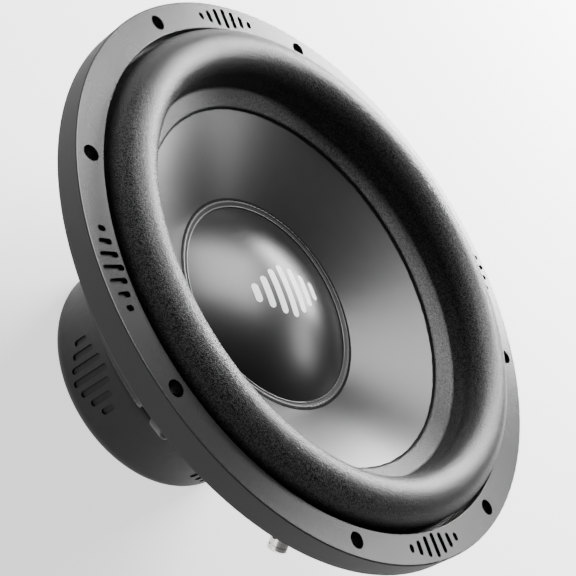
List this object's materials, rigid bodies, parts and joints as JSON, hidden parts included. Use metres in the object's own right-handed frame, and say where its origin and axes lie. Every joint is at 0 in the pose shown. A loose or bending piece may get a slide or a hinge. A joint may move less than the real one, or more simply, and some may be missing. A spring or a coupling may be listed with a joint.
{
  "type": "car subwoofer speaker",
  "caption": "Round car bass driver with a thick rubber trim ring, tall half-roll surround, coated cone, glossy dust cap, windowed steel basket, booted ferrite motor and push terminals.",
  "frame": {"origin": "centre of the flange's back face, which seats on the baffle, on the speaker's axis", "axes": "+Z along the speaker's axis and out of the cone, -Y and +Y through the two terminal plates"},
  "size_m": [0.315, 0.315, 0.151],
  "materials": {
    "black_steel": "satin black powder coat on pressed steel",
    "trim_rubber": "smooth satin moulded rubber, dark grey",
    "boot_rubber": "matte moulded rubber, near black",
    "surround_foam": "fine grained charcoal foam rubber",
    "cone_paper": "satin grey coated pulp, injection moulded",
    "cap_gloss": "glossy black",
    "former": "thin black anodised aluminium",
    "winding": "enamelled copper wire",
    "spider_cloth": "resin treated woven cotton",
    "zinc_steel": "zinc plated mild steel",
    "ferrite": "ground hard ferrite",
    "copper": "bare copper",
    "screw_steel": "black oxide",
    "terminal_plastic": "matte black ABS",
    "nickel": "bright nickel plate",
    "red_plastic": "red nylon",
    "black_plastic": "black nylon",
    "spring_steel": "bright spring steel",
    "tinsel": "woven silver tinsel braid",
    "solder_tag": "tin plated brass"
  },
  "bodies": {
    "frame": {"basket": "black_steel", "trim_ring": "trim_rubber", "magnet_boot": "boot_rubber", "top_plate": "zinc_steel", "magnet_front": "ferrite", "magnet_rear": "ferrite", "yoke": "zinc_steel", "pole_sleeve": "copper", "motor_screws": "screw_steel", "surround": "surround_foam", "spider": "spider_cloth", "terminal_plate_a": "terminal_plastic", "inner_plate_a": "terminal_plastic", "terminal_plate_b": "terminal_plastic", "inner_plate_b": "terminal_plastic", "tinsel_lead_a_plus": "tinsel", "terminal_collar_a_plus": "red_plastic", "terminal_post_a_plus": "nickel", "terminal_spring_a_plus": "spring_steel", "terminal_lug_a_plus": "solder_tag", "tinsel_lead_a_minus": "tinsel", "terminal_collar_a_minus": "black_plastic", "terminal_post_a_minus": "nickel", "terminal_spring_a_minus": "spring_steel", "terminal_lug_a_minus": "solder_tag", "tinsel_lead_b_plus": "tinsel", "terminal_collar_b_plus": "red_plastic", "terminal_post_b_plus": "nickel", "terminal_spring_b_plus": "spring_steel", "terminal_lug_b_plus": "solder_tag", "tinsel_lead_b_minus": "tinsel", "terminal_collar_b_minus": "black_plastic", "terminal_post_b_minus": "nickel", "terminal_spring_b_minus": "spring_steel", "terminal_lug_b_minus": "solder_tag", "terminal_nuts": "zinc_steel"},
    "moving_assembly": {"cone": "cone_paper", "dust_cap": "cap_gloss", "coil_former": "former", "voice_coil_a": "winding", "voice_coil_b": "winding", "lead_pads": "copper"},
    "cap_a_plus": {"push_cap_a_plus": "nickel"},
    "cap_a_minus": {"push_cap_a_minus": "nickel"},
    "cap_b_plus": {"push_cap_b_plus": "nickel"},
    "cap_b_minus": {"push_cap_b_minus": "nickel"}
  },
  "joints": [
    {"name": "cone_travel", "type": "slide", "parent": "frame", "child": "moving_assembly", "axis": [0, 0, 1], "range_m": [-0.015, 0.015], "stiffness_N_per_m": 6000, "deforming": ["surround", "spider", "tinsel_lead_a_plus", "tinsel_lead_a_minus", "tinsel_lead_b_plus", "tinsel_lead_b_minus"]},
    {"name": "push_a_plus", "type": "slide", "parent": "frame", "child": "cap_a_plus", "axis": [0.1112, 0.6643, 0.7392], "range_m": [0, 0.0035], "stiffness_N_per_m": 900, "springref_m": -0.002, "deforming": ["terminal_spring_a_plus"]},
    {"name": "push_a_minus", "type": "slide", "parent": "frame", "child": "cap_a_minus", "axis": [-0.1112, 0.6643, 0.7392], "range_m": [0, 0.0035], "stiffness_N_per_m": 900, "springref_m": -0.002, "deforming": ["terminal_spring_a_minus"]},
    {"name": "push_b_plus", "type": "slide", "parent": "frame", "child": "cap_b_plus", "axis": [-0.1112, -0.6643, 0.7392], "range_m": [0, 0.0035], "stiffness_N_per_m": 900, "springref_m": -0.002, "deforming": ["terminal_spring_b_plus"]},
    {"name": "push_b_minus", "type": "slide", "parent": "frame", "child": "cap_b_minus", "axis": [0.1112, -0.6643, 0.7392], "range_m": [0, 0.0035], "stiffness_N_per_m": 900, "springref_m": -0.002, "deforming": ["terminal_spring_b_minus"]}
  ]
}
